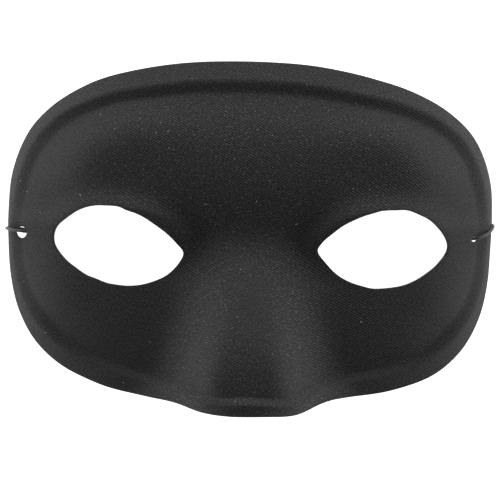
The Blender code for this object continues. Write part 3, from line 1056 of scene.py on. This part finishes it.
@dataclass
class ElasticCord:
    """One length of round elastic, looped through both cord holes and tied behind the rim."""

    diameter: float = 1.1
    # From its right tail to its left tail. Each end goes through its knot, out of the hole, over
    # the band, round the rim and back through the knot. The rest lies on the table.
    route: tuple = (
        (75.4, 0.6, 1.9), (79.0, 3.0, 4.0), (80.8, 2.8, 6.6), (80.0, 2.0, 9.9),
        (81.3, 1.5, 12.0), (83.2, 1.8, 12.2), (87.0, 3.7, 9.9), (88.8, 5.9, 5.1),
        (88.3, 6.7, 2.6), (86.2, 6.8, 1.5), (82.6, 5.2, 2.0), (79.0, 3.0, 2.6),
        (75.4, 5.0, 1.0), (72.5, 13.0, 0.6), (62.0, 26.0, 0.6), (48.0, 38.0, 0.6),
        (33.0, 43.5, 0.6), (19.0, 39.5, 0.6), (11.5, 24.0, 0.6), (10.5, 6.0, 0.6),
        (0.0, -8.0, 0.6), (-10.0, 6.0, 0.6), (-12.5, 25.0, 0.6), (-21.0, 38.0, 0.6),
        (-36.0, 42.0, 0.6), (-52.0, 35.0, 0.6), (-66.0, 22.0, 0.6), (-75.4, 3.6, 1.0),
        (-79.0, 1.6, 2.6), (-82.6, 2.3, 2.0), (-86.2, 2.7, 1.7), (-88.3, 2.6, 2.7),
        (-88.6, 2.4, 5.0), (-86.7, 1.9, 9.7), (-83.2, 1.5, 12.0), (-81.3, 1.3, 12.0),
        (-80.0, 1.3, 9.9), (-80.8, 1.5, 6.6), (-79.0, 1.6, 4.0), (-75.4, -0.6, 1.9),
    )
    exit: tuple = (80.8, 2.8, 6.6)
    fine_steps: int = 24
    most_turn: float = math.radians(9.0)
    longest_step: float = 3.0
    knot_places: dict = field(
        default_factory=lambda: {Side.RIGHT: (79.0, 3.0, 3.3), Side.LEFT: (-79.0, 1.6, 3.3)}
    )
    knot_radius: float = 1.95
    knot_strand: float = 0.5
    knot_turns: float = 2.6
    knot_pitch: float = 1.0
    knot_steps: int = 60

    def line(self) -> list[Vector]:
        """Reads a smooth curve through the route.

        Returns:
            Points in millimetres, closer together where the cord bends.
        """
        route = [Vector(point) for point in self.route]
        route = [2 * route[0] - route[1]] + route + [2 * route[-1] - route[-2]]
        fine = []
        for four in zip(route, route[1:], route[2:], route[3:]):
            fine.extend(curve_between(*four, self.fine_steps))
        fine.append(route[-2])
        kept = [fine[0]]
        heading = fine[1] - fine[0]
        for here, ahead in zip(fine[1:], fine[2:]):
            if heading.angle(ahead - here) > self.most_turn or (here - kept[-1]).length > self.longest_step:
                kept.append(here)
                heading = ahead - here
        return kept + [fine[-1]]

    def build_cord(self, finish: bpy.types.Material) -> bpy.types.Object:
        """Makes the cord as a curve of one open spline.

        Args:
            finish: the cord's material.

        Returns:
            The cord's object.
        """
        points = self.line()
        curve = bpy.data.curves.new("elastic", "CURVE")
        curve.dimensions = "3D"
        curve.bevel_depth = 0.5 * self.diameter * MM
        curve.bevel_resolution = 3
        curve.use_fill_caps = True
        spline = curve.splines.new("POLY")
        spline.points.add(len(points) - 1)
        for target, point in zip(spline.points, points):
            target.co = (*(point * MM), 1.0)
        spline.use_smooth = True
        curve.materials.append(finish)
        return add_object("elastic", curve)

    def build_knot(self, side: Side, finish: bpy.types.Material) -> bpy.types.Object:
        """Makes a knot as a tight wrap of cord round the two strands of its loop.

        Args:
            side: which end of the cord it closes.
            finish: the cord's material.

        Returns:
            The knot's object.
        """
        middle = Vector(self.knot_places[side])
        start = middle + Vector((-0.5 * self.knot_turns * self.knot_pitch, 0.0, 0.0))
        mesh = bmesh.new()
        bmesh.ops.create_circle(mesh, cap_ends=True, segments=12, radius=self.knot_strand * MM)
        turn = Matrix.Rotation(math.radians(-90.0), 4, "X")
        shift = Matrix.Translation((start + Vector((0.0, 0.0, self.knot_radius))) * MM)
        bmesh.ops.transform(mesh, matrix=shift @ turn, verts=mesh.verts)
        bmesh.ops.spin(
            mesh,
            geom=mesh.verts[:] + mesh.edges[:] + mesh.faces[:],
            cent=start * MM,
            axis=(1.0, 0.0, 0.0),
            dvec=Vector((self.knot_pitch * self.knot_turns / self.knot_steps * MM, 0.0, 0.0)),
            angle=2 * math.pi * self.knot_turns,
            steps=self.knot_steps,
        )
        bmesh.ops.recalc_face_normals(mesh, faces=mesh.faces)
        for face in mesh.faces:
            face.smooth = len(face.verts) == 4
        return add_piece("knot_" + side.name.lower(), mesh, [finish])

    def build(self, finish: bpy.types.Material) -> list[bpy.types.Object]:
        """Args:
            finish: the cord's material.

        Returns:
            The cord and the knots.
        """
        cord = self.build_cord(finish)
        knots = {side: self.build_knot(side, finish) for side in Side}
        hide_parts("elastic_cord")
        for side, knot in knots.items():
            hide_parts("elastic_knot_" + side.name.lower())
        return [cord, *knots.values()]


@dataclass
class Lint:
    """Specks and short fibres that lie on the cloth."""

    face: FaceForm
    # Where seen from the front in millimetres, length, turn in degrees, and thickness.
    specks: tuple = (
        (17.0, 5.9, 0.85, 30.0, 0.3), (41.1, -29.4, 0.6, 80.0, 0.24), (-16.0, 12.6, 1.6, 4.0, 0.11),
        (-10.6, 11.8, 0.5, 60.0, 0.14), (6.7, 21.0, 0.7, 120.0, 0.11), (-7.9, -26.1, 0.6, 20.0, 0.12),
        (-3.6, -28.3, 0.5, 100.0, 0.12), (17.2, -26.1, 0.6, 150.0, 0.12), (14.7, -42.1, 0.5, 45.0, 0.12),
        (-73.5, -35.5, 0.6, 70.0, 0.15), (-35.4, -38.0, 0.6, 10.0, 0.12), (-44.8, -53.1, 0.6, 130.0, 0.14),
        (-84.0, 29.6, 0.5, 0.0, 0.14), (-4.1, -58.9, 0.7, 25.0, 0.14), (-81.2, 15.9, 0.5, 40.0, 0.16),
        (-82.0, -17.0, 0.5, 90.0, 0.14), (60.8, 2.4, 0.6, 140.0, 0.12), (2.4, 13.6, 0.5, 75.0, 0.12),
        (-61.6, 15.1, 0.8, 80.0, 0.16), (-83.9, 19.5, 0.8, 90.0, 0.18), (-2.9, -11.3, 0.5, 30.0, 0.14),
        (0.4, -13.2, 0.5, 100.0, 0.13), (-30.1, 38.5, 0.5, 80.0, 0.13), (-55.0, 44.4, 0.6, 10.0, 0.13),
        (-40.3, 45.1, 0.5, 120.0, 0.13), (-40.7, 42.9, 0.5, 20.0, 0.12), (-34.5, 37.8, 0.6, 45.0, 0.12),
        (37.7, 49.9, 0.5, 80.0, 0.14), (22.4, 52.1, 0.5, 30.0, 0.14), (27.9, 47.0, 0.5, 90.0, 0.13),
        (2.2, 39.6, 0.5, 60.0, 0.13), (-18.3, -25.6, 0.5, 10.0, 0.12), (45.8, 16.5, 0.5, 150.0, 0.12),
        (-76.2, 8.1, 0.5, 70.0, 0.12), (69.3, -35.9, 0.5, 20.0, 0.12), (43.2, 38.5, 0.5, 0.0, 0.12),
    )
    ring_sides: int = 6
    joints: int = 5

    def build(self, finish: bpy.types.Material) -> bpy.types.Object:
        """Makes the fibres as one piece.

        Args:
            finish: the lint's material.

        Returns:
            The lint's object.
        """
        mesh = bmesh.new()
        for number, (across, up, length, turn, thickness) in enumerate(self.specks):
            self.add_fibre(mesh, number, (across, up), length, math.radians(turn), thickness)
        bmesh.ops.recalc_face_normals(mesh, faces=mesh.faces)
        lint = add_piece("lint", mesh, [finish])
        lint.data.shade_smooth()
        return lint

    def add_fibre(
        self, mesh: bmesh.types.BMesh, number: int, spot: tuple, length: float, turn: float, thickness: float
    ) -> None:
        """Lays one curled fibre on the cloth.

        Args:
            mesh: the lint's mesh.
            number: the fibre's number, which sets its curl.
            spot: where it lies, seen from the front.
            length: its length in millimetres.
            turn: its direction in radians.
            thickness: its thickness in millimetres.
        """
        plan = self.face.plan_under(*spot)
        point = Vector(self.face.point(plan[None])[0])
        normal = Vector(self.face.normal(plan[:1], plan[1:])[0])
        first = len(mesh.verts)
        bmesh.ops.create_cone(
            mesh, cap_ends=True, segments=self.ring_sides, radius1=0.5 * thickness * MM,
            radius2=0.32 * thickness * MM, depth=length * MM,
            matrix=Matrix.Rotation(math.radians(90.0), 4, "Y"),
        )
        long = 0.7 * length * MM
        mesh.verts.index_update()
        edges = [
            edge for edge in mesh.edges
            if edge.verts[0].index >= first and edge.calc_length() > long
        ]
        bmesh.ops.subdivide_edges(mesh, edges=edges, cuts=self.joints)
        mesh.verts.ensure_lookup_table()
        verts = mesh.verts[first:]
        curl = 0.35 * length * (1 if number % 2 else -1)
        for vertex in verts:
            share = vertex.co.x / (0.5 * length * MM)
            vertex.co.y += curl * (1.0 - share * share) * MM
            vertex.co.z += 0.06 * math.sin(3.0 * share + number) * MM
        lie = normal.to_track_quat("Z", "Y").to_matrix().to_4x4()
        spot_matrix = Matrix.Translation((point + normal * 0.35 * thickness) * MM)
        bmesh.ops.transform(mesh, matrix=spot_matrix @ lie @ Matrix.Rotation(turn, 4, "Z"), verts=verts)


@dataclass
class Studio:
    """Pale table, soft boxes and the camera above the mask."""

    # Millimetres of the object for each pixel of the photograph, and where its middle is seen.
    pixel: float = 0.3638
    picture: int = 500
    middle_seen: tuple = (249.5, 239.0)
    middle_height: float = 18.0
    roll: float = math.radians(1.0)
    distance: float = 6.0
    sensor: float = 36.0
    sky: float = 0.05
    # Name, place in metres, width and height in metres, and power in watts.
    boxes: tuple = (
        ("left_box", (-1.3, 0.0, 0.45), (1.0, 0.6), 11.8),
        ("right_box", (1.3, 0.0, 0.45), (1.0, 0.6), 11.8),
        ("top_box", (0.0, 1.3, 0.42), (1.4, 0.6), 16.4),
        ("chin_box", (0.0, -1.3, 0.4), (1.2, 0.6), 1.2),
    )

    def build_camera(self) -> bpy.types.Object:
        """Makes the camera, which looks straight down at the face.

        Returns:
            The camera.
        """
        width = self.pixel * self.picture * MM
        data = bpy.data.cameras.new("camera")
        data.sensor_width = self.sensor
        data.lens = self.sensor * (self.distance - self.middle_height * MM) / width
        data.clip_end = 60.0
        camera = add_object("camera", data)
        across = (0.5 * self.picture - self.middle_seen[0]) * self.pixel * MM
        down = (0.5 * self.picture - self.middle_seen[1]) * self.pixel * MM
        right = Vector((math.cos(self.roll), math.sin(self.roll), 0.0))
        up = Vector((-math.sin(self.roll), math.cos(self.roll), 0.0))
        camera.location = right * across - up * down + Vector((0.0, 0.0, self.distance))
        camera.rotation_euler = (0.0, 0.0, self.roll)
        bpy.context.scene.camera = camera
        return camera

    def add_softbox(self, name: str, place: tuple, size: tuple, power: float) -> bpy.types.Object:
        """Makes a soft box that faces the mask.

        Args:
            name: the light's name.
            place: where it stands, in metres.
            size: its width and height, in metres.
            power: its power in watts.

        Returns:
            The light.
        """
        data = bpy.data.lights.new(name, "AREA")
        data.shape = "RECTANGLE"
        data.size, data.size_y = size
        data.energy = power
        light = add_object(name, data)
        light.location = place
        light.rotation_euler = (Vector((0.0, 0.0, 0.02)) - Vector(place)).to_track_quat("-Z", "Y").to_euler()
        light.visible_camera = False
        return light

    def build(self, table_finish: bpy.types.Material) -> None:
        """Makes the table, the lights and the camera.

        Args:
            table_finish: the table's material.
        """
        self.build_camera()
        mesh = bmesh.new()
        bmesh.ops.create_grid(mesh, x_segments=2, y_segments=2, size=15.0)
        add_piece("table", mesh, [table_finish])
        for box in self.boxes:
            self.add_softbox(*box)
        world = bpy.data.worlds.new("studio")
        world.use_nodes = True
        background = world.node_tree.nodes["Background"]
        background.inputs["Color"].default_value = (1.0, 1.0, 1.0, 1.0)
        background.inputs["Strength"].default_value = self.sky
        bpy.context.scene.world = world
        bpy.context.scene.view_settings.view_transform = "Standard"


def dress(piece: bpy.types.Object, slot: str) -> None:
    """Sets a piece on the mask's one body.

    Args:
        piece: the piece.
        slot: the name of a material slot, which is only logged.
    """
    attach(piece, "root")
    LOG.info("%s rides on the mask, slot %s", piece.name, slot)


def main() -> None:
    """Builds the studio, the mask and its cord."""
    logging.basicConfig(level=logging.INFO, format="%(name)s: %(message)s")
    Studio().build(LightTable().make())
    elastic = BraidedElastic().make()
    for piece in ElasticCord().build(elastic):
        dress(piece, "elastic")
    face = FaceForm()
    shell = MaskShell(face).build([TwillCloth().make(), FeltLining().make(), CutEdge().make()])
    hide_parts("mask_shell")
    dress(shell, "cloth")
    dress(Lint(face).build(LintFibre().make()), "cloth")
    bpy.context.view_layer.update()


if __name__ == "__main__":
    main()
